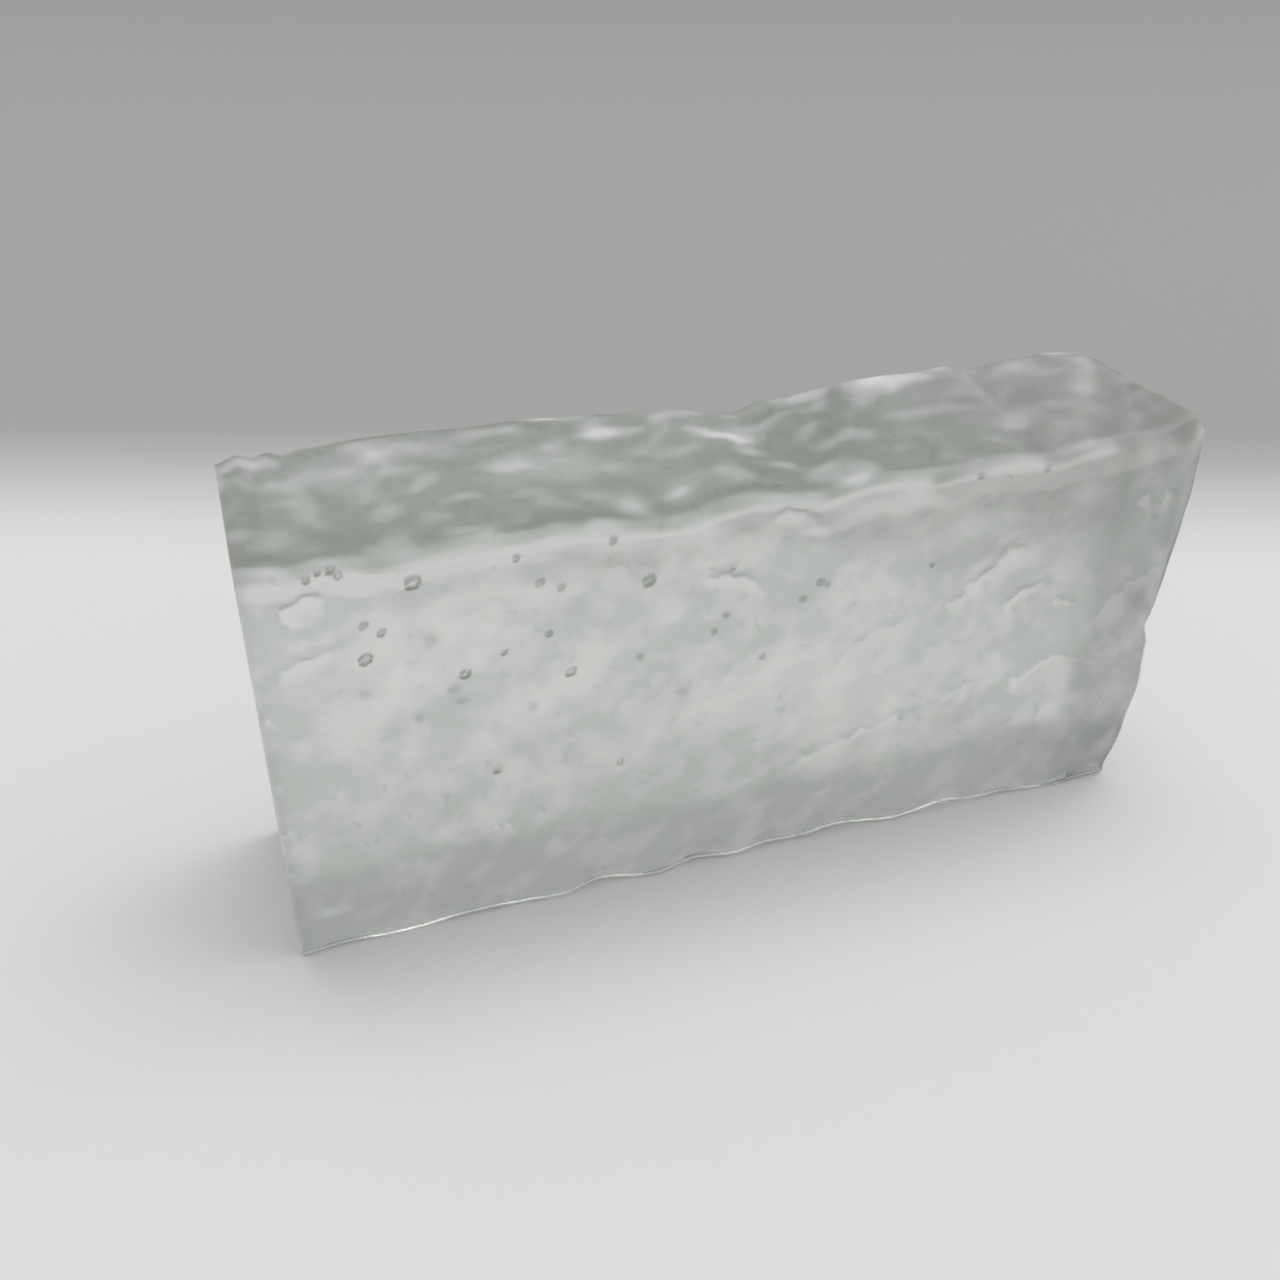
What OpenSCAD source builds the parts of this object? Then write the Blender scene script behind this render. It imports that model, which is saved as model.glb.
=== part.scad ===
// Solid cast glass block, standing on its long narrow face.
// The left end is sawn flat and the underside is ground flat to stand on. The other faces are as cast:
// shallow ripples sink into them, the crests of the front and back faces dip and swell, the foot of the
// front face winds in and out, and the cast end bulges and draws back.
// Lengths are in millimetres and angles in degrees. +X is to the right, +Y to the back and +Z up.

/* [Block] */
// Length, from the sawn end to the furthest swell of the cast end
block_length = 240; // [120:1:400]
// Thickness over the swells of the front and back faces
block_thickness = 53; // [40:1:120]
// Height over the highest swell of the top
block_height = 115; // [60:1:240]

/* [Edges] */
// Radius of the edge between the front and the top
front_top_radius = 5.5; // [3:0.5:8]
// Radius of the edge between the back and the top
back_top_radius = 4; // [2:0.5:8]
// Radius of the edge between the back and the underside
back_foot_radius = 3; // [1.5:0.5:6]
// Radius of the front corner of the cast end
front_end_radius = 1; // [0.5:0.5:3]
// Radius of the back corner of the cast end
back_end_radius = 6; // [2:0.5:10]

/* [Relief] */
// Depth of the ripples in the front and back faces
face_ripple = 1.4; // [0.5:0.1:3]
// Depth of the ripples in the top
top_ripple = 0.8; // [0.2:0.1:3]
// Depth of the ripples in the cast end
end_ripple = 1; // [0.2:0.1:3]
// Length of the longest ripple
ripple_length = 104; // [60:1:160]
// Depth over which the ripples level off where they meet the mould wall
levelling = 0.5; // [0.1:0.1:1]
// Height up the front face over which its foot winds in and out
foot_reach = 8; // [4:0.5:16]

/* [Cutting] */
// Glass that the saw takes off the left end
saw_allowance = 6; // [3:0.5:12]
// Glass that is ground off the underside
grind_allowance = 0.9; // [0.4:0.1:2]

/* [Surface] */
// Steps of the surface along the length, the thickness and the height
length_steps = 60; // [30:1:70]
thickness_steps = 10; // [6:1:14]
height_steps = 24; // [12:1:30]
// Steps from the middle of an edge's turn to its end
edge_steps = 2; // [1:1:3]

/* [Hidden] */
glass_colour = [0.75, 0.82, 0.79, 0.55];

// The walls of the mould, which the swells just reach
left = -block_length / 2;
right = block_length / 2;
front = -block_thickness / 2;
back = block_thickness / 2;
top = block_height;
sole = -grind_allowance;
middle = block_height / 2;
// The edge at the front foot is ground away to a sharp arris
front_foot_radius = grind_allowance;

// Crests of the front and back faces: share of the half length, and drop below the highest swell
front_crest = [
    [-1, 5.6], [-0.91, 7.1], [-0.85, 5.7], [-0.74, 7.3], [-0.58, 5.2], [-0.47, 6.3],
    [-0.42, 5.6], [-0.2, 8.3], [-0.03, 5], [0.11, 7.2], [0.23, 4.9], [0.36, 5.8],
    [0.51, 4.8], [0.61, 5.9], [0.75, 4.3], [0.9, 4], [1, 0.6],
];
back_crest = [
    [-1, 1.6], [-0.96, 0], [-0.93, 1], [-0.9, 0], [-0.875, 1], [-0.83, 0],
    [-0.63, 0], [-0.43, 0.4], [-0.12, 1.8], [0.09, 5.2], [0.15, 2.9], [0.37, 0.4],
    [0.59, 0], [0.64, 2.4], [0.74, 0], [0.85, 0], [1, 1.5],
];
// Foot of the front face: share of the half length, and recess behind the furthest swell
foot_line = [
    [-1, 0.3], [-0.88, 1.2], [-0.55, 2], [-0.44, 0.8], [-0.34, 3.4], [-0.22, 0.6],
    [-0.12, 3], [-0.03, 1.6], [0.05, 3], [0.13, 2.5], [0.24, 4], [0.38, 1.6],
    [0.51, 4.3], [0.63, 2.4], [0.85, 0.8], [1, 1.6],
];
// Cast end: share of the height, and setback of its front edge behind its furthest swell
end_setback = [
    [0, 5], [0.17, 3], [0.26, 1.8], [0.4, 2.6], [0.46, 4.4], [0.52, 2.4],
    [0.6, 1], [0.73, 0], [0.88, 0], [0.96, 0.6], [1, 1.8],
];
// Share of that setback at the back edge of the cast end
back_setback = 0.4;
// How closely the drop of the crests and the setback of the end keep to the top and to the end
top_gather = 6;
end_gather = 12;

// Ripples: heading, share of the longest ripple's length, phase and weight
ripples = [
    [[1, 0.1, 0.1], 0.3, 130, 0.4],
    [[1, 0.5, 0.6], 1, 20, 0.25],
    [[0.7, -0.3, -1], 0.71, 250, 0.3],
    [[0.3, 0.8, 1], 0.41, 80, 0.3],
    [[0.8, 1, -0.5], 0.28, 300, 0.16],
    [[0.5, -0.7, 0.9], 0.2, 140, 0.12],
];

function unit(v) = v / norm(v);
function total(list, i = 0) = i < len(list) ? list[i] + total(list, i + 1) : 0;
function clamp(value, lowest, highest) = min(max(value, lowest), highest);
function blend(a, b, share) = a + (b - a) * share;
function ease(share) = share * share * (3 - 2 * share);

// Ripple height at a point: a sum of plane waves in the glass, cut by the surface
function ripple(p) = total([
    for (r = ripples)
        r[3] * sin(360 * (p * unit(r[0])) / (r[1] * ripple_length) + r[2])
]);

// Radius of the long edge that is nearest to a point
function edge_radius(p) =
    p.z < middle
        ? (p.y < 0 ? front_foot_radius : back_foot_radius)
        : (p.y < 0 ? front_top_radius : back_top_radius);

// The rounded mould wall at a point of the plain box, and the wall's outward normal there
function mould_wall(p) =
    let (
        end_radius = blend(front_end_radius, back_end_radius, (p.y - front) / block_thickness),
        radius = edge_radius(p),
        core = [
            min(p.x, right - end_radius),
            clamp(p.y, front + radius, back - radius),
            clamp(p.z, sole + radius, top - radius)
        ],
        out = p - core,
        normal = unit([out.x / end_radius, out.y / radius, out.z / radius])
    )
        [core + [normal.x * end_radius, normal.y * radius, normal.z * radius], normal];

// Depth of the ripple at a point of the wall, levelled off so that it never stands out of the mould
function ripple_sink(wall, normal) =
    let (
        depth = face_ripple * abs(normal.y) + top_ripple * max(normal.z, 0) + end_ripple * normal.x,
        sink = depth * (1 - ripple(wall)) / 2
    )
        (sink + norm([sink, levelling])) / 2;

// How far a point of the wall is drawn to the crests, the foot and the cast end
function draw(wall) =
    let (
        along = 2 * wall.x / block_length,
        rise = (wall.z - sole) / (top - sole),
        rear = (wall.y - front) / block_thickness,
        drop = blend(lookup(along, front_crest), lookup(along, back_crest), ease(rear)),
        at_end = pow(max(1 + along, 0) / 2, end_gather),
        setback = lookup(rise, end_setback) * blend(1, back_setback, rear) * at_end,
        recess = lookup(along, foot_line) * (1 - rear) * exp(-pow(wall.z / foot_reach, 2))
    )
        [-setback, recess, -drop * pow(rise, top_gather)];

// A point of the cast skin, from a point of the plain box
function cast_point(p) =
    let (found = mould_wall(p))
        found[0] - found[1] * ripple_sink(found[0], found[1]) + draw(found[0]);

// Even steps from a to b
function steps(a, b, count) = [for (i = [0 : count]) a + (b - a) * i / count];
// Steps from a to b, closer in the zones where the edges at both ends turn
function edged_steps(a, b, zone_a, zone_b, count) = concat(
    [for (i = [0 : edge_steps - 1]) a + zone_a * i / edge_steps],
    steps(a + zone_a, b - zone_b, count),
    [for (i = [1 : edge_steps]) b - zone_b * (1 - i / edge_steps)]
);

// Grid lines of the plain box
grid_x = concat(
    steps(left - saw_allowance, right - back_end_radius, length_steps),
    [for (i = [1 : edge_steps]) right - back_end_radius * (1 - i / edge_steps)]
);
grid_y = edged_steps(front, back, front_top_radius, back_top_radius, thickness_steps);
grid_z = edged_steps(sole, top, back_foot_radius, front_top_radius, height_steps);
last_x = len(grid_x) - 1;
last_y = len(grid_y) - 1;
last_z = len(grid_z) - 1;

// The grid places round the box, up the front, over the top, down the back and under
girth = concat(
    [for (k = [0 : last_z - 1]) [0, k]],
    [for (j = [0 : last_y - 1]) [j, last_z]],
    [for (k = [last_z : -1 : 1]) [last_y, k]],
    [for (j = [last_y : -1 : 1]) [j, 0]]
);
around = len(girth);
inner = (last_y - 1) * (last_z - 1);

// Number of the point at a place of the cast end: on its rim it belongs to the last ring
function rim_place(j, k) =
    j == 0 ? k
    : k == last_z ? last_z + j
    : j == last_y ? last_z + last_y + last_z - k
    : 2 * last_z + 2 * last_y - j;
function end_point(j, k) =
    j == 0 || j == last_y || k == 0 || k == last_z
        ? last_x * around + rim_place(j, k)
        : (last_x + 1) * around + (j - 1) * (last_z - 1) + k - 1;

// The glass as it comes out of the mould
module casting() {
    points = concat(
        [for (x = grid_x) for (place = girth) cast_point([x, grid_y[place[0]], grid_z[place[1]]])],
        [for (j = [1 : last_y - 1]) for (k = [1 : last_z - 1]) cast_point([right, grid_y[j], grid_z[k]])],
        [[left - saw_allowance, 0, middle]]
    );
    start_centre = (last_x + 1) * around + inner;
    function ring_point(i, j) = i * around + (j % around);
    skin = [
        for (i = [0 : last_x - 1]) for (j = [0 : around - 1]) each [
            [ring_point(i, j), ring_point(i + 1, j), ring_point(i + 1, j + 1)],
            [ring_point(i, j), ring_point(i + 1, j + 1), ring_point(i, j + 1)]
        ]
    ];
    cast_end = [
        for (j = [0 : last_y - 1]) for (k = [0 : last_z - 1]) each [
            [end_point(j, k), end_point(j + 1, k), end_point(j + 1, k + 1)],
            [end_point(j, k), end_point(j + 1, k + 1), end_point(j, k + 1)]
        ]
    ];
    raw_end = [for (j = [0 : around - 1]) [ring_point(0, j + 1), start_centre, ring_point(0, j)]];
    polyhedron(points, concat(skin, cast_end, raw_end), convexity = 4);
}

// The stretch of glass that stays after sawing and grinding
module kept_stretch() {
    margin = 10;
    translate([left, front - margin, 0])
        cube([block_length + margin, block_thickness + 2 * margin, block_height + margin]);
}

module glass_block() {
    color(glass_colour)
        intersection() {
            casting();
            kept_stretch();
        }
}

glass_block();
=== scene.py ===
import math

import bmesh
import bpy
from mathutils import Matrix, Vector, noise


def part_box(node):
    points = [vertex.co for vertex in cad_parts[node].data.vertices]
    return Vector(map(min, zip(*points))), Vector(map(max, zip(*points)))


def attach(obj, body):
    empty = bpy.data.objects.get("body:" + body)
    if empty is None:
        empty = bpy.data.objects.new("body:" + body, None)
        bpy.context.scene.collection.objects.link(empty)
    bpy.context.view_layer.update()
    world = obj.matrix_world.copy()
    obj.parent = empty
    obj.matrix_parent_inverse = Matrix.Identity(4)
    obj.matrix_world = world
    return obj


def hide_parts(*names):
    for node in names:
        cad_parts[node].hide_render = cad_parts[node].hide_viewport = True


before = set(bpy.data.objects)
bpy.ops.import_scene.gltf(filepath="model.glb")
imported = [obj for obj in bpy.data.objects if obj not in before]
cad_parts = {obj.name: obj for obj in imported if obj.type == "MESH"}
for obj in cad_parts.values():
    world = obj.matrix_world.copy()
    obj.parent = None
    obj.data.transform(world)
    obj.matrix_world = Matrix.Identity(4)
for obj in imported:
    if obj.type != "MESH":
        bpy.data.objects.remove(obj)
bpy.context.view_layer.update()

# Seed of the noise that makes outlines ragged, so that every run gives the same glass
NOISE_SEED = 1
noise.seed_set(NOISE_SEED)

# The glass is modelled in millimetres and scaled to metres at the end
MM = 0.001
low, high = (Vector(corner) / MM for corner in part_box("glass_block"))
LEFT, FRONT, SOLE = low
RIGHT, BACK, TOP = high
MIDDLE = (low + high) / 2
LENGTH = RIGHT - LEFT
THICKNESS = BACK - FRONT
HEIGHT = TOP - SOLE

# Spacing of the surface points, and how far the lowest rows are drawn down to the foot
GRID = 1.04
FOOT_ROWS = 2.0
FOOT_ROWS_DRAW = 0.42

# Radii of the cast edges
FRONT_TOP_RADIUS = 5.5
BACK_TOP_RADIUS = 4.0
FRONT_FOOT_RADIUS = 0.4
BACK_FOOT_RADIUS = 3.0
BACK_FOOT_SWELL = 3.5
BACK_FOOT_SWELL_LENGTH = 15.0
FRONT_END_RADIUS = 1.0
BACK_END_RADIUS = 6.0

# How closely the drop of the crests and the setback of the end keep to the top and to the end
TOP_GATHER = 6
END_GATHER = 12

# How softly the glass levels off where it meets the mould wall
LEVELLING = 0.5

# Crests of the front and back faces: share of the half length, and drop below the highest swell
FRONT_CREST = (
    (-1.0, 5.6), (-0.91, 7.1), (-0.85, 5.7), (-0.74, 7.3), (-0.58, 5.2), (-0.47, 6.3),
    (-0.42, 5.6), (-0.20, 8.3), (-0.03, 5.0), (0.11, 7.2), (0.23, 4.9), (0.36, 5.8),
    (0.51, 4.8), (0.61, 5.9), (0.75, 4.3), (0.90, 4.0), (1.0, 0.6),
)
BACK_CREST = (
    (-1.0, 1.6), (-0.96, 0.0), (-0.93, 1.0), (-0.90, 0.0), (-0.875, 1.0), (-0.83, 0.0),
    (-0.63, 0.0), (-0.43, 0.4), (-0.12, 1.8), (0.09, 5.2), (0.15, 2.9), (0.37, 0.4),
    (0.59, 0.0), (0.64, 2.4), (0.74, 0.0), (0.85, 0.0), (1.0, 1.5),
)
# Foot of the front face: share of the half length, and recess behind the furthest swell
FOOT_LINE = (
    (-1.0, 0.3), (-0.88, 1.2), (-0.55, 2.0), (-0.44, 0.8), (-0.34, 3.4), (-0.22, 0.6),
    (-0.12, 3.0), (-0.03, 1.6), (0.05, 3.0), (0.13, 2.5), (0.24, 4.0), (0.38, 1.6),
    (0.51, 4.3), (0.63, 2.4), (0.85, 0.8), (1.0, 1.6),
)
FOOT_REACH = 8.0
# Cast end: share of the height, and setback of its front edge behind its furthest swell
END_SETBACK = (
    (0, 5.0), (0.17, 3.0), (0.26, 1.8), (0.40, 2.6), (0.46, 4.4), (0.52, 2.4),
    (0.60, 1.0), (0.73, 0.0), (0.88, 0.0), (0.96, 0.6), (1.0, 1.8),
)
# Share of that setback at the back edge of the cast end
BACK_SETBACK = 0.4

# Ripples: depth in each face and length of the longest wave
FACE_RIPPLE = 1.4
TOP_RIPPLE = 0.8
END_RIPPLE = 1.0
RIPPLE_LENGTH = 104.0
# Their waves: heading, share of the longest wave's length, phase and weight
RIPPLES = (
    ((1, 0.1, 0.1), 0.30, 130, 0.40),
    ((1, 0.5, 0.6), 1.0, 20, 0.25),
    ((0.7, -0.3, -1), 0.71, 250, 0.30),
    ((0.3, 0.8, 1), 0.41, 80, 0.30),
    ((0.8, 1, -0.5), 0.28, 300, 0.16),
    ((0.5, -0.7, 0.9), 0.20, 140, 0.12),
)

# Fine ripples of the skin: size and height of the broad and of the fine ones
CHILL_BROAD = 10.0
CHILL_BROAD_HEIGHT = 0.6
CHILL_FINE = 4.0
CHILL_FINE_HEIGHT = 0.14
CHILL_FINE_SHIFT = Vector((7, 3, 5))
# Share of them that the top, the underside and the cast end have
TOP_CHILL = 1.0
SOLE_CHILL = 0.12
END_CHILL = 1.2
# Share of the top's own that is left at the right, and the stretch over which it falls off
TOP_CHILL_LEFT_OVER = 0.6
TOP_CHILL_FADE = (20, 70)
# Further share of the front and back faces near the foot, and its height
FOOT_CHILL = 0.9
FOOT_CHILL_HEIGHT = 9.0

# The flare at the very foot of the front face, where the glass crept under the mould
FLARE = 0.7
FLARE_RISE = (0.2, 0.6)
# Height under which its edges stay sharp
FLARE_SHARP = 0.8

# Chips and folds of the front face: place along the block, height, half width, half height, turn and depth
CHIPS = (
    (-107, 100.5, 5.5, 5, 50, 1.2), (-108, 84.5, 8, 3, 25, 1.0), (-8, 88, 8, 3, -27, 1.0),
    (85, 41, 12, 5.5, 22, 1.2), (27, 30, 19, 4, 15, 0.9), (-68.5, 26.5, 4, 3, -10, 0.8),
    (-67.5, 36, 1.2, 9, 3, 0.5), (75, 68, 5.5, 3.4, 30, 1.0), (87, 64.7, 4.5, 1.8, -6, 0.9),
    (105.6, 92, 2, 4.5, 0, 1.0), (112, 91, 1.8, 4, 0, 1.0), (8, 105, 8, 3.2, -35, 0.8),
    (58, 73, 9, 3.5, 45, 0.8), (66, 80, 7, 3, 50, 0.7), (-30, 60, 9, 3, 40, 0.4),
    (-4, 62, 10, 4, 40, 0.4), (30, 62, 10, 4, 35, 0.5), (109, 63, 11, 4, 35, 0.6),
    (-90, 107, 8, 2.5, 10, 0.7), (-55, 110, 10, 2.5, 8, 0.5), (60, 40, 7, 2.5, 20, 0.6),
    (LEFT + 1, 70, 2, 2.5, 0, 0.8), (LEFT + 1, 52, 1.5, 2, 0, 0.8), (LEFT + 1, 38, 2, 2, 0, 0.8),
    (LEFT + 1, 24, 2, 3, 0, 0.6),
)
# How ragged their outline is, and the share of a chip that its rim takes up
CHIP_RAGGED = 2.4
CHIP_RAGGED_SIZE = 3.5
CHIP_RIM = 0.2
# Depth of a chip whose painted light and shade are full, how its painted light grows as it rises, and the
# least painted light that counts
CHIP_FULL_DEPTH = 1.0
CHIP_LIGHT_RISE = (-1.1, 0.2)
CHIP_LEAST_LIGHT = 0.05
# Reach of the painted shade in the fold above a chip and of its soft edge, in chips, and how that shade
# grows as it rises
SHADE_REACH = 1.9
SHADE_EDGE = 0.7
SHADE_RISE = (0.1, 0.7)

# Lumps of the top, raised and whitened with frost and painted highlight: place along and across, half
# length, half width and whiteness
TOP_LUMPS = (
    (-100, 24, 8, 3.5, 0.45), (-82, 15, 10, 3.5, 0.45), (-93, 10, 8, 4, 0.3), (-111, -12, 7, 5, 0.25),
    (-45, 25, 10, 3.5, 0.9), (-34, 23, 7, 4, 0.4), (-26, 14, 10, 3, 0.6), (-54, 4, 10, 4, 0.4),
    (-43, 1, 10, 6, 0.3), (-33, -14, 9, 5, 0.25), (-16, -12, 10, 6, 0.3), (-8, 23, 9, 5, 0.4),
    (0, 10, 12, 5, 0.65), (22, -18, 11, 5, 0.5), (27, 22, 11, 5, 0.6), (51, 21, 14, 7, 1.0),
    (66, 25, 10, 3.5, 0.7), (90, 18, 10, 5, 0.3), (106, 25, 11, 3.5, 1.0), (75, -6, 12, 5, 0.15),
)
LUMP_HEIGHT = 0.3
LUMP_REACH = 1.3
LUMP_RAGGED = 3.0
LUMP_RAGGED_SIZE = 9.0

# Bubbles: place along the block, depth behind the front face, height and radius
BUBBLES = (
    (-84, 2.8, 101, 1.7), (-96, 2.8, 83.5, 1.5), (-74, 2.2, 75, 1.3), (-49, 2.2, 70, 1.3),
    (-30, 2.8, 92, 1.6), (-68, 2.0, 46, 1.1), (-54, 2.4, 82, 0.9), (-65, 3, 79, 0.8),
    (-92, 3.5, 89.5, 1.0), (-96, 5, 92, 1.0), (-37, 2.0, 41, 0.9), (-39, 2.8, 104, 0.9),
    (-61, 2.8, 103, 0.9), (-56, 5, 96, 1.1), (-51, 5, 94, 0.9), (-81, 6, 40, 0.9),
    (14, 2.0, 84, 1.0), (10, 4, 80, 1.0), (-9, 2.4, 92, 0.9), (-13, 5, 75, 0.9),
    (0, 4, 65, 0.9), (45, 2.0, 83, 0.8), (43, 3, 36, 0.8), (73.5, 2.4, 105.5, 0.8),
    (110, 2.2, 87, 1.0), (55, 2.6, 106, 0.8), (-32, 7, 71, 1.0), (-68, 5, 28, 0.9),
    (16, 6, 83, 0.9), (-10, 7, 79, 0.9), (-78, 14, 71, 1.1), (-77, 16, 67, 1.0),
    (-20, 20, 58, 1.2), (22, 22, 66, 1.2), (-50, 20, 52, 1.2), (-101, 3.0, 106.4, 1.1),
    (-103.5, 2.0, 106.3, 0.7), (-106, 1.8, 104.8, 0.8), (-88, 18, 64, 1.2), (-60, 20, 62, 1.2),
    (-100, 20, 74, 1.3), (-84, 22, 86, 1.3),
)
BUBBLE_STRETCH = (1.25, 1.0, 0.9)
BUBBLE_TURN = math.radians(-35)
BUBBLE_CRUMPLE = 0.25
# Line along which the bubbles lie back from the front face, for each millimetre of depth
SIGHT = Vector((0.22, 1, -0.39))
# The bubble in the corner of the top: place and radius
CORNER_BUBBLE = (-116.5, 21, 108.5)
CORNER_BUBBLE_RADIUS = 1.8

# Flecks, where a fold of the melt shut in a film of air: place along the block, depth behind the front face,
# height, half width, half depth, tilt and turn
FLECKS = (
    (-68.5, 4, 27, 1.2, 1.0, 30, -15), (-71, 4, 26.5, 0.9, 0.8, 32, -10), (3.5, 4, 105, 1.4, 0.9, 30, 10),
    (63, 3, 104, 1.0, 0.9, 30, 0), (107, 5, 89, 0.9, 0.9, 32, 0), (-99, 4, 104, 1.0, 0.8, 30, -25),
)
FLECK_THICKNESS = 0.2
FLECK_CRUMPLE = 0.5

# Subdivisions of the balls that the air pockets are made from, and pitch of their crumpling
POCKET_SUBDIVISIONS = 3
CRUMPLE_PITCH = 2


def clamp(value, lowest, highest):
    return min(max(value, lowest), highest)


def ease(value, start, stop):
    """A smooth step from 0 at the start to 1 at the stop."""
    share = clamp((value - start) / (stop - start), 0, 1)
    return share * share * (3 - 2 * share)


def lerp(a, b, share):
    return a + (b - a) * share


def profile(table, at):
    """The table's value at a place, eased from entry to entry."""
    if at <= table[0][0]:
        return table[0][1]
    for (start, first), (stop, second) in zip(table, table[1:]):
        if at <= stop:
            return lerp(first, second, ease(at, start, stop))
    return table[-1][1]


def share_along(p):
    """Share of the half length, from -1 at the sawn end to 1 at the cast end."""
    return 2 * (p.x - MIDDLE.x) / LENGTH


def wave(p, heading, length, phase):
    across = p.dot(Vector(heading).normalized()) / (length * RIPPLE_LENGTH)
    return math.sin(2 * math.pi * across + math.radians(phase))


def ripple(p):
    return sum(weight * wave(p, heading, length, phase) for heading, length, phase, weight in RIPPLES)


def chill(p, normal):
    """Fine ripples that the cold mould left in the skin."""
    broad = noise.noise(p / CHILL_BROAD)
    fine = noise.noise(p / CHILL_FINE + CHILL_FINE_SHIFT)
    upright = SOLE_CHILL
    if normal.z > 0:
        upright = TOP_CHILL * lerp(1, TOP_CHILL_LEFT_OVER, ease(p.x, *TOP_CHILL_FADE))
    foot = 1 + FOOT_CHILL * math.exp(-(p.z / FOOT_CHILL_HEIGHT - 1) ** 2)
    strength = foot * normal.y ** 2 + upright * normal.z ** 2 + END_CHILL * normal.x ** 2
    return strength * (CHILL_BROAD_HEIGHT * broad + CHILL_FINE_HEIGHT * fine)


def chip(p):
    """Depth of the chips at a point of the front, and the painted light on a chip or, below 0, the painted
    shade in the fold above it.
    """
    ragged = noise.noise_vector(p / CHIP_RAGGED_SIZE) * CHIP_RAGGED
    depth = 0
    clear = 0
    dull = 0
    for x, z, width, height, turn, deepest in CHIPS:
        along = Vector((p.x + ragged.x - x, p.z + ragged.z - z)) @ Matrix.Rotation(math.radians(turn), 2)
        across = along.x / width
        rise = along.y / height
        if abs(across) > SHADE_REACH or abs(rise) > SHADE_REACH:
            continue
        strength = min(deepest / CHIP_FULL_DEPTH, 1)
        from_centre = math.hypot(across, rise)
        inside = ease(1 - from_centre, 0, CHIP_RIM)
        depth = max(depth, deepest * (1 + rise) / 2 * inside)
        # A chip's face gets painted light, and the fold above it gets painted shade
        clear = max(clear, strength * inside * ease(rise, *CHIP_LIGHT_RISE))
        dull = max(dull, strength * ease(SHADE_REACH - from_centre, 0, SHADE_EDGE) * ease(rise, *SHADE_RISE))
    return depth, clear if clear > CHIP_LEAST_LIGHT else -dull


def lump(p):
    """How far a point of the top lies inside a lump, which is raised and whitened with frost and painted
    highlight.
    """
    ragged = noise.noise_vector(p / LUMP_RAGGED_SIZE) * LUMP_RAGGED
    share = 0
    for x, y, length, width, whiteness in TOP_LUMPS:
        apart = ((p.x + ragged.x - x) / length) ** 2 + ((p.y + ragged.y - y) / width) ** 2
        share = max(share, whiteness * ease(LUMP_REACH - apart, 0, LUMP_REACH))
    return share


def edge_radius(p):
    """Radius of the long edge that is nearest to a point."""
    if p.z >= MIDDLE.z:
        return FRONT_TOP_RADIUS if p.y < 0 else BACK_TOP_RADIUS
    if p.y < 0:
        return FRONT_FOOT_RADIUS
    return BACK_FOOT_RADIUS + BACK_FOOT_SWELL * noise.noise(Vector((p.x / BACK_FOOT_SWELL_LENGTH, 0, 0)))


def mould_wall(p):
    """The rounded mould wall at a point of the plain box, and the wall's outward normal there."""
    end_radius = lerp(FRONT_END_RADIUS, BACK_END_RADIUS, (p.y - FRONT) / THICKNESS)
    radius = edge_radius(p)
    core = Vector((
        clamp(p.x, LEFT, RIGHT - end_radius),
        clamp(p.y, FRONT + radius, BACK - radius),
        clamp(p.z, SOLE + radius, TOP - radius),
    ))
    radii = Vector((end_radius, radius, radius))
    out = p - core
    normal = Vector(o / r for o, r in zip(out, radii)).normalized()
    return core + normal * radii, normal


def cast_point(p):
    """A point of the cast skin: the mould wall with ripples sunk in, drawn to the crests, foot and end."""
    wall, normal = mould_wall(p)
    hollow = (1 - ripple(wall)) / 2
    depth = FACE_RIPPLE * abs(normal.y) + TOP_RIPPLE * max(normal.z, 0) + END_RIPPLE * normal.x
    sink = depth * hollow - chill(wall, normal)
    if normal.z > 0:
        sink -= LUMP_HEIGHT * lump(wall) * normal.z
    if normal.y < 0:
        flare = FLARE * ease(wall.z - SOLE, *FLARE_RISE)
        sink -= (flare + chip(wall)[0]) * normal.y
    sink = (sink + math.hypot(sink, LEVELLING)) / 2

    along = share_along(wall)
    rise = (wall.z - SOLE) / HEIGHT
    rear = (wall.y - FRONT) / THICKNESS
    drop = lerp(profile(FRONT_CREST, along), profile(BACK_CREST, along), ease(rear, 0, 1))
    setback = profile(END_SETBACK, rise) * lerp(1, BACK_SETBACK, rear) * ((1 + along) / 2) ** END_GATHER
    recess = profile(FOOT_LINE, along) * (1 - rear) * math.exp(-((wall.z - SOLE) / FOOT_REACH) ** 2)
    return wall - normal * sink + Vector((-setback, recess, -drop * rise ** TOP_GATHER))


def sawn_point(p):
    """A point of the sawn end: the outline's own point, drawn in towards the middle of the end."""
    centre = Vector((LEFT, MIDDLE.y, MIDDLE.z))
    share = 2 * max(abs(p.y - centre.y) / THICKNESS, abs(p.z - centre.z) / HEIGHT)
    if share == 0:
        return centre
    outline = cast_point(centre + (p - centre) / share)
    return centre.lerp(outline, share)


# How far the normal has turned to a face where that face's skin starts and where it is full
FACE_TURN = (0.5, 0.9)
EDGE_TURN = (0.1, 0.4)
TOP_WHITE_TURN = (0.05, 0.6)
TOP_SHADE_TURN = (0.4, 0.8)

# Depth of the pale lip under the front crest: share of the half length, and depth
LIP_LINE = (
    (-1.0, 3.0), (-0.75, 5.0), (-0.40, 3.0), (-0.10, 4.0), (0.05, 6.0),
    (0.13, 10.0), (0.20, 6.0), (0.50, 6.0), (0.85, 4.0), (1.0, 0.0),
)
# Share by which its lower border wanders, size of that wander, and width of the border
LIP_WANDER = 0.5
LIP_WANDER_SIZE = 6.0
LIP_BORDER = 1.5


def below_lip(wall):
    """0 on the pale lip under the front crest and 1 below it."""
    wander = LIP_WANDER * noise.noise(wall / LIP_WANDER_SIZE)
    depth = profile(LIP_LINE, share_along(wall)) * (1 + wander)
    return ease(TOP - FRONT_TOP_RADIUS - wall.z, depth, depth + LIP_BORDER)


# The dull white skin on the lumps of the top: frost where the glass lay longest against the cold mould, and
# painted highlight
TOP_FROST_AND_HIGHLIGHT = 0.6
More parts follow.
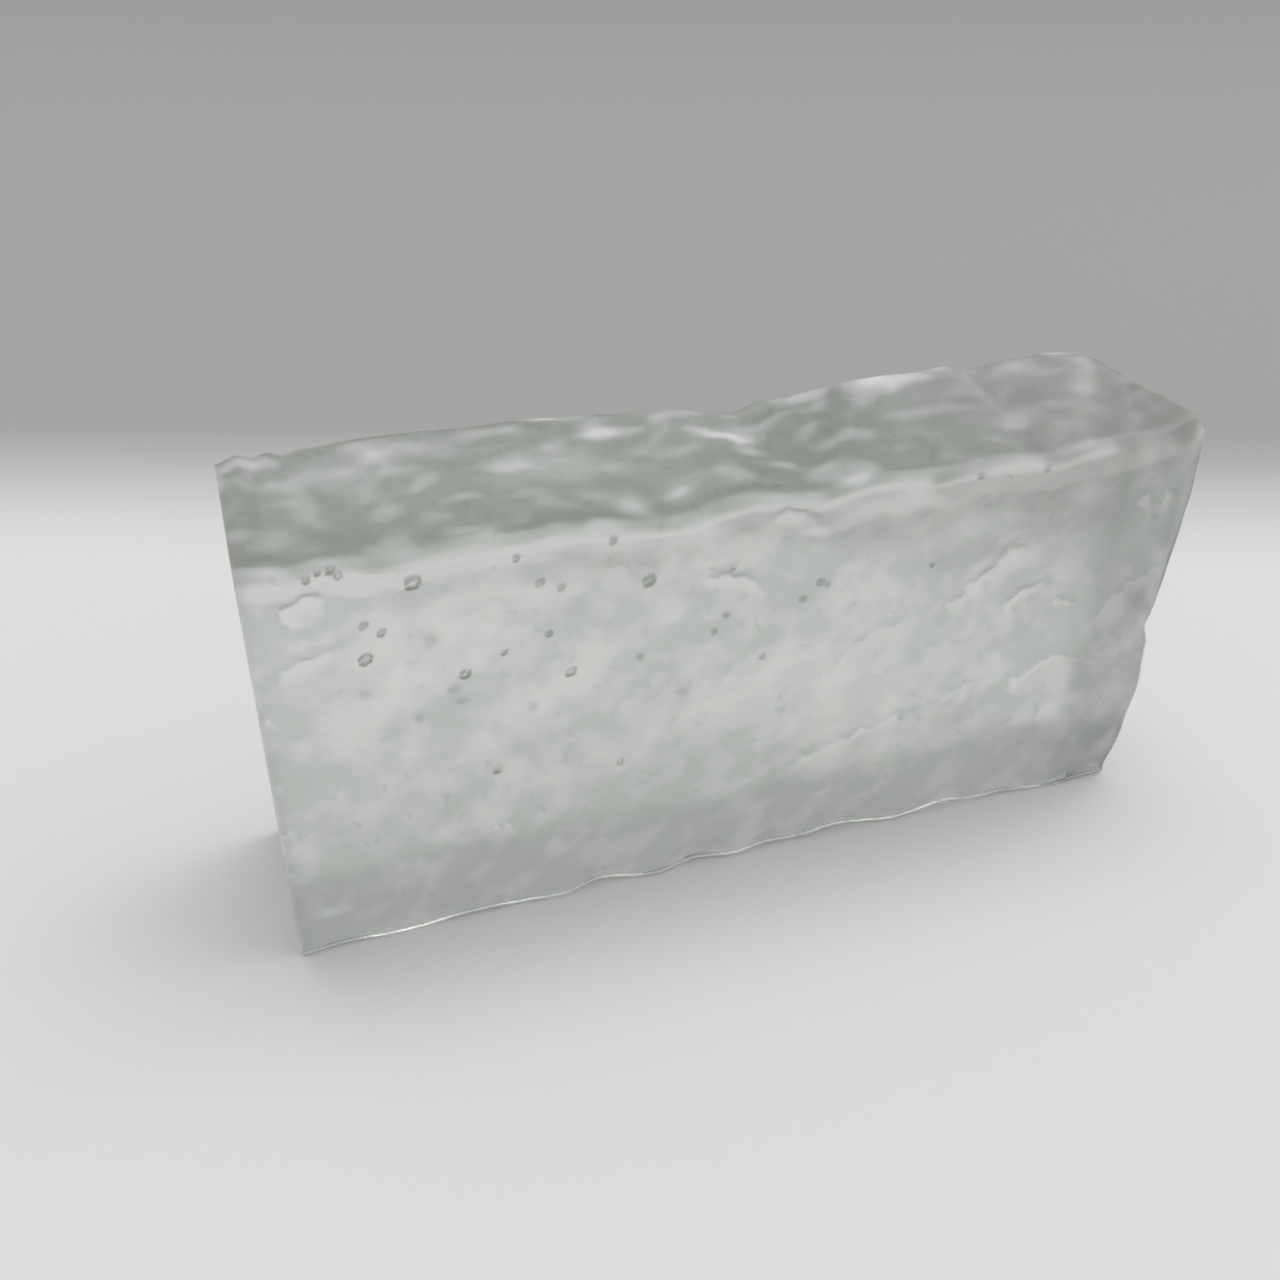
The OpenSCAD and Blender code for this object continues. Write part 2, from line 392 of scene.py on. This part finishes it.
# Haze between the lumps, frost and painted highlight: whiteness, size of its patches, and noise at which a
# patch starts and is full
TOP_HAZE_AND_HIGHLIGHT = 0.30
TOP_HAZE_LENGTH = 9.0
TOP_HAZE_WIDTH = 5.5
TOP_HAZE_PATCH = (-0.1, 0.6)
# Stretch over which the haze evens out to the right, share of its patches left there, and the even haze
EVEN_STRETCH = (20, 70)
EVEN_PATCHES = 0.4
EVEN_HAZE_AND_HIGHLIGHT = 0.08
# The lip: whiteness of frost and painted highlight, and the mean, depth, width and height of its pleats
LIP_FROST_AND_HIGHLIGHT = 0.18
PLEAT_MEAN = 0.7
PLEAT_DEPTH = 0.8
PLEAT_WIDTH = 3.0
PLEAT_HEIGHT = 9.0


def frost_and_highlight(wall, normal):
    """How white the skin is at a point of the mould wall: frost and painted highlight."""
    if normal.z > TOP_WHITE_TURN[0]:
        patch = noise.noise(Vector((wall.x / TOP_HAZE_LENGTH, wall.y / TOP_HAZE_WIDTH, 0)))
        even = ease(wall.x, *EVEN_STRETCH)
        haze_and_highlight = TOP_HAZE_AND_HIGHLIGHT * lerp(1, EVEN_PATCHES, even) * ease(patch, *TOP_HAZE_PATCH) + EVEN_HAZE_AND_HIGHLIGHT * even
        return (TOP_FROST_AND_HIGHLIGHT * lump(wall) + haze_and_highlight) * ease(normal.z, *TOP_WHITE_TURN)
    if normal.y > -FACE_TURN[0]:
        return 0
    pleat = PLEAT_MEAN + PLEAT_DEPTH * noise.noise(Vector((wall.x / PLEAT_WIDTH, 0, wall.z / PLEAT_HEIGHT)))
    return LIP_FROST_AND_HIGHLIGHT * pleat * (1 - below_lip(wall))


# Dullness of each face, of the front's lip and band and of the sawn end, as roughness
SOLE_DULL = 0.10
FRONT_DULL = 0.36
LIP_DULL = 0.32
BAND_DULL = 0.33
BACK_DULL = 0.32
TOP_DULL = 0.38
END_DULL = 0.31
SAWN_DULL = 0.30
# Heights over which the front dulls above its clear foot, and goes from the band to the rest
CLEAR_FOOT = (1.5, 3.5)
BAND_RISE = (20, 45)
# Further dullness of the front next to the cast end, and the stretch over which it comes in
END_FRONT_DULL = 0.14
END_FRONT_STRETCH = (80, 104)
# Further dullness of the back's foot, and of its corner with the cast end below the top
FOOT_EDGE_DULL = 0.2
CORNER_DULL = 0.25
CORNER_BELOW_TOP = (12, 24)
# Dullness that a chip lacks where it has painted light
CHIP_SHEEN = 0.03


def dullness(wall, normal, clear):
    """Roughness of the skin at a point of the mould wall."""
    front = lerp(BAND_DULL, FRONT_DULL, ease(wall.z, *BAND_RISE))
    front = lerp(LIP_DULL, front, below_lip(wall)) + END_FRONT_DULL * ease(wall.x, *END_FRONT_STRETCH)
    front = (front - CHIP_SHEEN * max(clear, 0)) * ease(wall.z, *CLEAR_FOOT)
    faces = (
        front * ease(-normal.y, *FACE_TURN)
        + BACK_DULL * ease(normal.y, *FACE_TURN)
        + TOP_DULL * ease(normal.z, *FACE_TURN)
        + END_DULL * ease(normal.x, *FACE_TURN)
    )
    back_edge = ease(normal.y, *EDGE_TURN)
    foot_edge = FOOT_EDGE_DULL * back_edge * ease(-normal.z, *EDGE_TURN)
    corner = CORNER_DULL * back_edge * ease(normal.x, *EDGE_TURN) * ease(TOP - wall.z, *CORNER_BELOW_TOP)
    return max(faces, SOLE_DULL) + foot_edge + corner


# Grey on the skin, partly a film and partly painted shade. On the top: amount of painted shade, and the
# stretch from none to all of it
TOP_SHADE = 0.65
TOP_SHADE_STRETCH = (90, 30)
# On the front: patches drawn out along a slant and a finer mottle, each with its size and amount
PATCH_SIZE = 26.0
PATCH_STRETCH = 1.4
PATCH_TURN = math.radians(42)
PATCH_FILM = 0.6
MOTTLE_SIZE = 8.0
MOTTLE_FILM = 0.45
# Noise at which a patch or mottle starts and is full, and the noise's fall and step from octave to octave
PATCH_NOISE = (-0.4, 0.4)
OCTAVE_FALL = 0.9
OCTAVE_STEP = 2
PATCH_OCTAVES = 4
MOTTLE_OCTAVES = 3
# More grey to the right and at the sawn edge, and painted shade high on the right: amount and stretch of
# each
RIGHT_GREY = 0.2
RIGHT_STRETCH = (20, 112)
SAWN_EDGE_GREY = 0.35
SAWN_EDGE_STRETCH = (-88, -116)
HIGH_SHADE = 0.35
HIGH_STRETCH = (-30, 30)
HIGH_RISE = (70, 100)
# The band of painted shade at the foot: height of its border at the left and at the right end, and the
# border's wander and its reach above and below
BAND_LEFT = 26
BAND_RIGHT = 19
BAND_WANDER = 5
BAND_WANDER_LENGTH = 14
BAND_WANDER_SLICE = 3
BAND_ABOVE = 5
BAND_BELOW = 2
# Its painted shade, and how much of that its pale blotches lack, with their size and noise
BAND_SHADE = 1.1
BLOTCH = 0.75
BLOTCH_LENGTH = 15
BLOTCH_WIDTH = 9
BLOTCH_SLICE = 7
BLOTCH_NOISE = (-0.3, 0.7)
# Painted shade on the fold above a chip, and share of all grey that is left on the lip
CHIP_SHADE = 0.6
LIP_FILM = 0.2


def clouds(p, octaves):
    return noise.fractal(p, OCTAVE_FALL, OCTAVE_STEP, octaves)


def grey_and_painted_shade(wall, normal, clear):
    """How grey the skin is at a point of the mould wall: a film, with painted shade on the top, high on the
    right, in the band at the foot and in the folds above chips, and less grey on chips with painted light.
    """
    if normal.z > TOP_SHADE_TURN[0]:
        # Painted shade on the top, full towards the left
        return TOP_SHADE * ease(normal.z, *TOP_SHADE_TURN) * ease(wall.x, *TOP_SHADE_STRETCH)
    if normal.y > -FACE_TURN[0]:
        return 0
    slant = Vector((wall.x, wall.z)) @ Matrix.Rotation(PATCH_TURN, 2)
    patch = clouds(Vector((slant.x / PATCH_STRETCH, slant.y, 0)) / PATCH_SIZE, PATCH_OCTAVES)
    mottle = clouds(wall / MOTTLE_SIZE, MOTTLE_OCTAVES)
    greying = PATCH_FILM * ease(patch, *PATCH_NOISE) + MOTTLE_FILM * ease(mottle, *PATCH_NOISE)
    greying += RIGHT_GREY * ease(wall.x, *RIGHT_STRETCH) + SAWN_EDGE_GREY * ease(wall.x, *SAWN_EDGE_STRETCH)
    # Painted shade high on the right
    greying += HIGH_SHADE * ease(wall.x, *HIGH_STRETCH) * ease(wall.z, *HIGH_RISE)

    # Painted shade of the band at the foot, with pale blotches
    wander = BAND_WANDER * noise.noise(Vector((wall.x / BAND_WANDER_LENGTH, BAND_WANDER_SLICE, 0)))
    border = lerp(BAND_LEFT, BAND_RIGHT, (wall.x - LEFT) / LENGTH) + wander
    spots = clouds(Vector((slant.x / BLOTCH_LENGTH, BLOTCH_SLICE, slant.y / BLOTCH_WIDTH)), MOTTLE_OCTAVES)
    band = BAND_SHADE - BLOTCH * ease(spots, *BLOTCH_NOISE)
    greying = lerp(greying, band, ease(wall.z, border + BAND_ABOVE, border - BAND_BELOW))

    # Painted light on a chip takes the grey away, and painted shade greys the fold above it
    greying = greying * (1 - max(clear, 0)) + CHIP_SHADE * max(-clear, 0)
    return greying * lerp(LIP_FILM, 1, below_lip(wall)) * ease(-normal.y, *FACE_TURN)


def cut_box():
    """A box of the mould's size, cut into a grid, with sharp edges at the flare and round the sawn end."""
    bm = bmesh.new()
    bmesh.ops.create_cube(bm, size=1)
    bmesh.ops.scale(bm, vec=high - low, verts=bm.verts)
    bmesh.ops.translate(bm, vec=MIDDLE, verts=bm.verts)
    for axis in range(3):
        edges = [e for e in bm.edges if abs(e.verts[0].co[axis] - e.verts[1].co[axis]) > GRID]
        cuts = round((high - low)[axis] / GRID) - 1
        bmesh.ops.subdivide_edges(bm, edges=edges, cuts=cuts, use_grid_fill=True)
    bm.normal_update()
    for vert in bm.verts:
        rise = vert.co.z - SOLE
        vert.co.z -= FOOT_ROWS_DRAW * rise * math.exp(-(rise / FOOT_ROWS) ** 2)
    near_front = FRONT + GRID / 2
    for edge in bm.edges:
        at_flare = all(v.co.y < near_front and v.co.z < SOLE + FLARE_SHARP for v in edge.verts)
        at_saw = sum(face.normal.x < -0.5 for face in edge.link_faces) == 1
        edge.smooth = not (at_flare or at_saw)
    return bm


def shut_in(bm, place, crumple):
    """An air pocket in the glass: a crumpled ball whose faces look into the air."""
    ball = bmesh.ops.create_icosphere(bm, subdivisions=POCKET_SUBDIVISIONS, radius=1)["verts"]
    for vert in ball:
        vert.co *= 1 + crumple * noise.noise(CRUMPLE_PITCH * vert.co + place.translation)
    bmesh.ops.transform(bm, matrix=place, verts=ball)
    faces = {face for vert in ball for face in vert.link_faces}
    bmesh.ops.reverse_faces(bm, faces=list(faces))


def bubble_place(x, depth, z, radius):
    face = cast_point(Vector((x, FRONT, z)))
    return (
        Matrix.Translation(Vector((x, face.y, z)) + depth * SIGHT)
        @ Matrix.Rotation(BUBBLE_TURN, 4, "Y")
        @ Matrix.Diagonal((*(radius * stretch for stretch in BUBBLE_STRETCH), 1))
    )


def fleck_place(x, depth, z, width, reach, tilt, turn):
    return (
        Matrix.Translation((x, FRONT + depth, z))
        @ Matrix.Rotation(math.radians(turn), 4, "Y")
        @ Matrix.Rotation(math.radians(tilt), 4, "X")
        @ Matrix.Diagonal((width, reach, FLECK_THICKNESS, 1))
    )


def glass_mesh():
    """The cast skin, with its finish at every point, and the air pockets in the glass."""
    bm = cut_box()
    skin = {name: bm.verts.layers.float.new(name) for name in ("frost_and_highlight", "grey_and_painted_shade", "dull", "sawn")}
    for vert in bm.verts:
        if vert.co.x < LEFT + GRID / 2:
            vert[skin["dull"]] = SAWN_DULL
            vert[skin["sawn"]] = 1
            vert.co = sawn_point(vert.co)
            continue
        wall, normal = mould_wall(vert.co)
        # Painted light on the chips and painted shade in the folds above them, on the front only
        clear = chip(wall)[1] * ease(-normal.y, *FACE_TURN) if normal.y < 0 else 0
        vert[skin["frost_and_highlight"]] = frost_and_highlight(wall, normal)
        vert[skin["grey_and_painted_shade"]] = grey_and_painted_shade(wall, normal, clear)
        vert[skin["dull"]] = dullness(wall, normal, clear)
        vert.co = cast_point(vert.co)
    for bubble in BUBBLES:
        shut_in(bm, bubble_place(*bubble), BUBBLE_CRUMPLE)
    shut_in(bm, Matrix.Translation(CORNER_BUBBLE) @ Matrix.Scale(CORNER_BUBBLE_RADIUS, 4), BUBBLE_CRUMPLE)
    for fleck in FLECKS:
        shut_in(bm, fleck_place(*fleck), FLECK_CRUMPLE)
    for face in bm.faces:
        face.smooth = True
    bmesh.ops.scale(bm, vec=(MM, MM, MM), verts=bm.verts)
    mesh = bpy.data.meshes.new("cast_glass")
    bm.to_mesh(mesh)
    bm.free()
    return mesh


class Socket:
    """A socket of a shader's nodes. Arithmetic on it adds Math nodes."""

    def __init__(self, finish, socket):
        self.finish = finish
        self.socket = socket

    def maths(self, operation, first, second):
        node = self.finish.node("ShaderNodeMath", {"operation": operation}, {0: first, 1: second})
        return node.out(0)

    def __add__(self, other):
        return self.maths("ADD", self, other)

    __radd__ = __add__

    def __sub__(self, other):
        return self.maths("SUBTRACT", self, other)

    def __rsub__(self, other):
        return self.maths("SUBTRACT", other, self)

    def __mul__(self, other):
        return self.maths("MULTIPLY", self, other)

    __rmul__ = __mul__


class Node:
    def __init__(self, finish, node):
        self.finish = finish
        self.node = node

    def out(self, name):
        return Socket(self.finish, self.node.outputs[name])


class Finish:
    """The nodes of a material or of the world."""

    def __init__(self, owner):
        owner.use_nodes = True
        self.tree = owner.node_tree
        self.tree.nodes.clear()

    def node(self, kind, settings=None, inputs=None):
        node = self.tree.nodes.new(kind)
        for name, value in (settings or {}).items():
            setattr(node, name, value)
        for name, value in (inputs or {}).items():
            if isinstance(value, Socket):
                self.tree.links.new(value.socket, node.inputs[name])
            else:
                node.inputs[name].default_value = value
        return Node(self, node)

    def ramp(self, value, start, stop, full=1.0):
        """A smooth step from 0 at the start to the full value at the stop."""
        return self.node("ShaderNodeMapRange", {"interpolation_type": "SMOOTHSTEP"}, {
            "Value": value, "From Min": start, "From Max": stop, "To Max": full,
        }).out("Result")

    def blend(self, share, first, second):
        """A colour between two others."""
        return self.node("ShaderNodeMix", {"data_type": "RGBA"}, {0: share, 6: first, 7: second}).out(2)


# Colours of the skin without and with its grey of film and painted shade, of the white of frost and painted
# highlight, and of light deep in the glass
CLEAR_COLOUR = (1, 1, 1, 1)
FILM_AND_SHADE_COLOUR = (0.66, 0.69, 0.67, 1)
FROST_AND_HIGHLIGHT_COLOUR = (0.82, 0.84, 0.82, 1)
FROST_DULL = 0.6
DEEP_COLOUR = (0.18, 0.30, 0.12, 1)
DEEP_DENSITY = 2.6
GLASS_IOR = 1.5
# Fine clouding of the skin: number of clouds in a metre, noise at which a smudge starts and is full
CLOUDS = 240.0
CLOUD_DETAIL = 2.0
SMUDGE_NOISE = (0.60, 0.72)
# How much a smudge deepens the grey of film and painted shade, and a cloud dulls the skin and whitens the
# frost and painted highlight
SMUDGE_FILM = 0.9
CLOUD_DULL = 0.06
CLOUD_FROST = 0.5
# Saw marks: number in a metre, as the texture counts them, and dullness
SAW_MARKS = 300.0
SAW_MARK_DULL = 0.2


def glass_finish():
    material = bpy.data.materials.new("cast_glass")
    finish = Finish(material)
    place = finish.node("ShaderNodeTexCoord").out("Object")

    def share(name):
        return finish.node("ShaderNodeAttribute", {"attribute_name": name}).out("Fac")

    cloud = finish.node("ShaderNodeTexNoise", None, {
        "Vector": place, "Scale": CLOUDS, "Detail": CLOUD_DETAIL,
    }).out(0)
    # Grey of the film and painted shade, less where chips have painted light
    greying = share("grey_and_painted_shade")
    smudge = finish.ramp(cloud, *SMUDGE_NOISE)
    skin = finish.blend(greying + SMUDGE_FILM * greying * smudge, CLEAR_COLOUR, FILM_AND_SHADE_COLOUR)
    saw_mark = finish.node("ShaderNodeTexWave", {"bands_direction": "Z"}, {
        "Vector": place, "Scale": SAW_MARKS,
    }).out("Fac")
    dull = share("dull") + CLOUD_DULL * cloud - CLOUD_DULL / 2 + SAW_MARK_DULL * saw_mark * share("sawn")
    glass = finish.node("ShaderNodeBsdfPrincipled", None, {
        "Base Color": skin, "Roughness": dull, "IOR": GLASS_IOR, "Transmission Weight": 1.0,
    })
    # White skin of frost and painted highlight
    rime_and_highlight = finish.node("ShaderNodeBsdfPrincipled", None, {
        "Base Color": FROST_AND_HIGHLIGHT_COLOUR, "Roughness": FROST_DULL,
    })
    white = share("frost_and_highlight") * (CLOUD_FROST + cloud)
    shell = finish.node("ShaderNodeMixShader", None, {0: white, 1: glass.out(0), 2: rime_and_highlight.out(0)})
    deep = finish.node("ShaderNodeVolumeAbsorption", None, {"Color": DEEP_COLOUR, "Density": DEEP_DENSITY})
    finish.node("ShaderNodeOutputMaterial", None, {"Surface": shell.out(0), "Volume": deep.out(0)})
    return material


block = bpy.data.objects.new("cast_glass", glass_mesh())
bpy.context.collection.objects.link(block)
block.data.materials.append(glass_finish())
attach(block, "root")
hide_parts("glass_block")

# Camera
CAMERA_PLACE = (-0.11659, -0.27083, 0.24516)
CAMERA_YAW = math.radians(18.978)
CAMERA_PITCH = math.radians(33.024)
CAMERA_ROLL = math.radians(0.682)
CAMERA_SENSOR = 36
CAMERA_LENS = 37.07
camera = bpy.data.objects.new("camera", bpy.data.cameras.new("camera"))
camera.data.sensor_width = CAMERA_SENSOR
camera.data.lens = CAMERA_LENS
camera.matrix_world = (
    Matrix.Translation(CAMERA_PLACE)
    @ Matrix.Rotation(-CAMERA_YAW, 4, "Z")
    @ Matrix.Rotation(math.pi / 2 - CAMERA_PITCH, 4, "X")
    @ Matrix.Rotation(CAMERA_ROLL, 4, "Z")
)
bpy.context.collection.objects.link(camera)
bpy.context.scene.camera = camera

# Floor, in metres: a pale disc that turns grey away from the camera
FLOOR_RADIUS = 4.0
FLOOR_SEGMENTS = 96
FLOOR_DROP = 0.0002
FLOOR_DULL = 0.9
PALE_FLOOR = (0.815, 0.815, 0.81, 1)
GREY_FLOOR = (0.40, 0.40, 0.39, 1)
FAR_FLOOR = (0.33, 0.33, 0.32, 1)
PALE_TO_GREY = (0.13, 0.27)
GREY_TO_FAR = (0.5, 2.2)


def floor_finish():
    material = bpy.data.materials.new("floor")
    finish = Finish(material)
    place = finish.node("ShaderNodeTexCoord").out("Object")
    away = finish.node("ShaderNodeVectorMath", {"operation": "DOT_PRODUCT"}, {
        0: place, 1: (math.sin(CAMERA_YAW), math.cos(CAMERA_YAW), 0),
    }).out("Value")
    grey = finish.blend(finish.ramp(away, *GREY_TO_FAR), GREY_FLOOR, FAR_FLOOR)
    paint = finish.blend(finish.ramp(away, *PALE_TO_GREY), PALE_FLOOR, grey)
    shader = finish.node("ShaderNodeBsdfPrincipled", None, {"Base Color": paint, "Roughness": FLOOR_DULL})
    finish.node("ShaderNodeOutputMaterial", None, {"Surface": shader.out(0)})
    return material


bm = bmesh.new()
bmesh.ops.create_circle(bm, cap_ends=True, segments=FLOOR_SEGMENTS, radius=FLOOR_RADIUS)
bmesh.ops.translate(bm, vec=(0, 0, -FLOOR_DROP), verts=bm.verts)
floor_mesh = bpy.data.meshes.new("floor")
bm.to_mesh(floor_mesh)
bm.free()
floor = bpy.data.objects.new("floor", floor_mesh)
floor.data.materials.append(floor_finish())
bpy.context.collection.objects.link(floor)

# Light: an even grey surround, a soft light overhead with a broad glow round it, and one from the right
SURROUND = 0.44
OVERHEAD = Vector((0.16, 0.26, 0.95)).normalized()
FROM_RIGHT = Vector((0.80, 0.0, 0.60)).normalized()
# Each light: direction, angle of its edge, angle of its full part, and strength
LIGHTS = (
    (OVERHEAD, 34, 16, 1.0),
    (OVERHEAD, 30, 8, 2.2),
    (FROM_RIGHT, 42, 12, 0.75),
)
# A grey screen at the back, which hides the lights behind it: direction, angles and strength
SCREEN_TOWARDS = Vector((0.26, 0.82, 0.51)).normalized()
SCREEN_EDGE = 44
SCREEN_FULL = 28
SCREEN = 0.48
world = bpy.data.worlds.new("world")
bpy.context.scene.world = world
surround = Finish(world)
towards = surround.node("ShaderNodeTexCoord").out("Generated")


def light_patch(direction, edge, full, strength):
    """A soft round light in a direction: nothing at its edge angle, full strength within its full angle."""
    facing = surround.node("ShaderNodeVectorMath", {"operation": "DOT_PRODUCT"}, {0: towards, 1: direction})
    edge_share, full_share = (math.cos(math.radians(angle)) for angle in (edge, full))
    return surround.ramp(facing.out("Value"), edge_share, full_share, strength)


glow = SURROUND
for light in LIGHTS:
    glow = glow + light_patch(*light)
screen = light_patch(SCREEN_TOWARDS, SCREEN_EDGE, SCREEN_FULL, 1.0)
glow = glow * (1 - screen) + SCREEN * screen
backdrop = surround.node("ShaderNodeBackground", None, {"Color": (1, 1, 1, 1), "Strength": glow})
surround.node("ShaderNodeOutputWorld", None, {"Surface": backdrop.out(0)})

bpy.context.scene.view_settings.view_transform = "Standard"
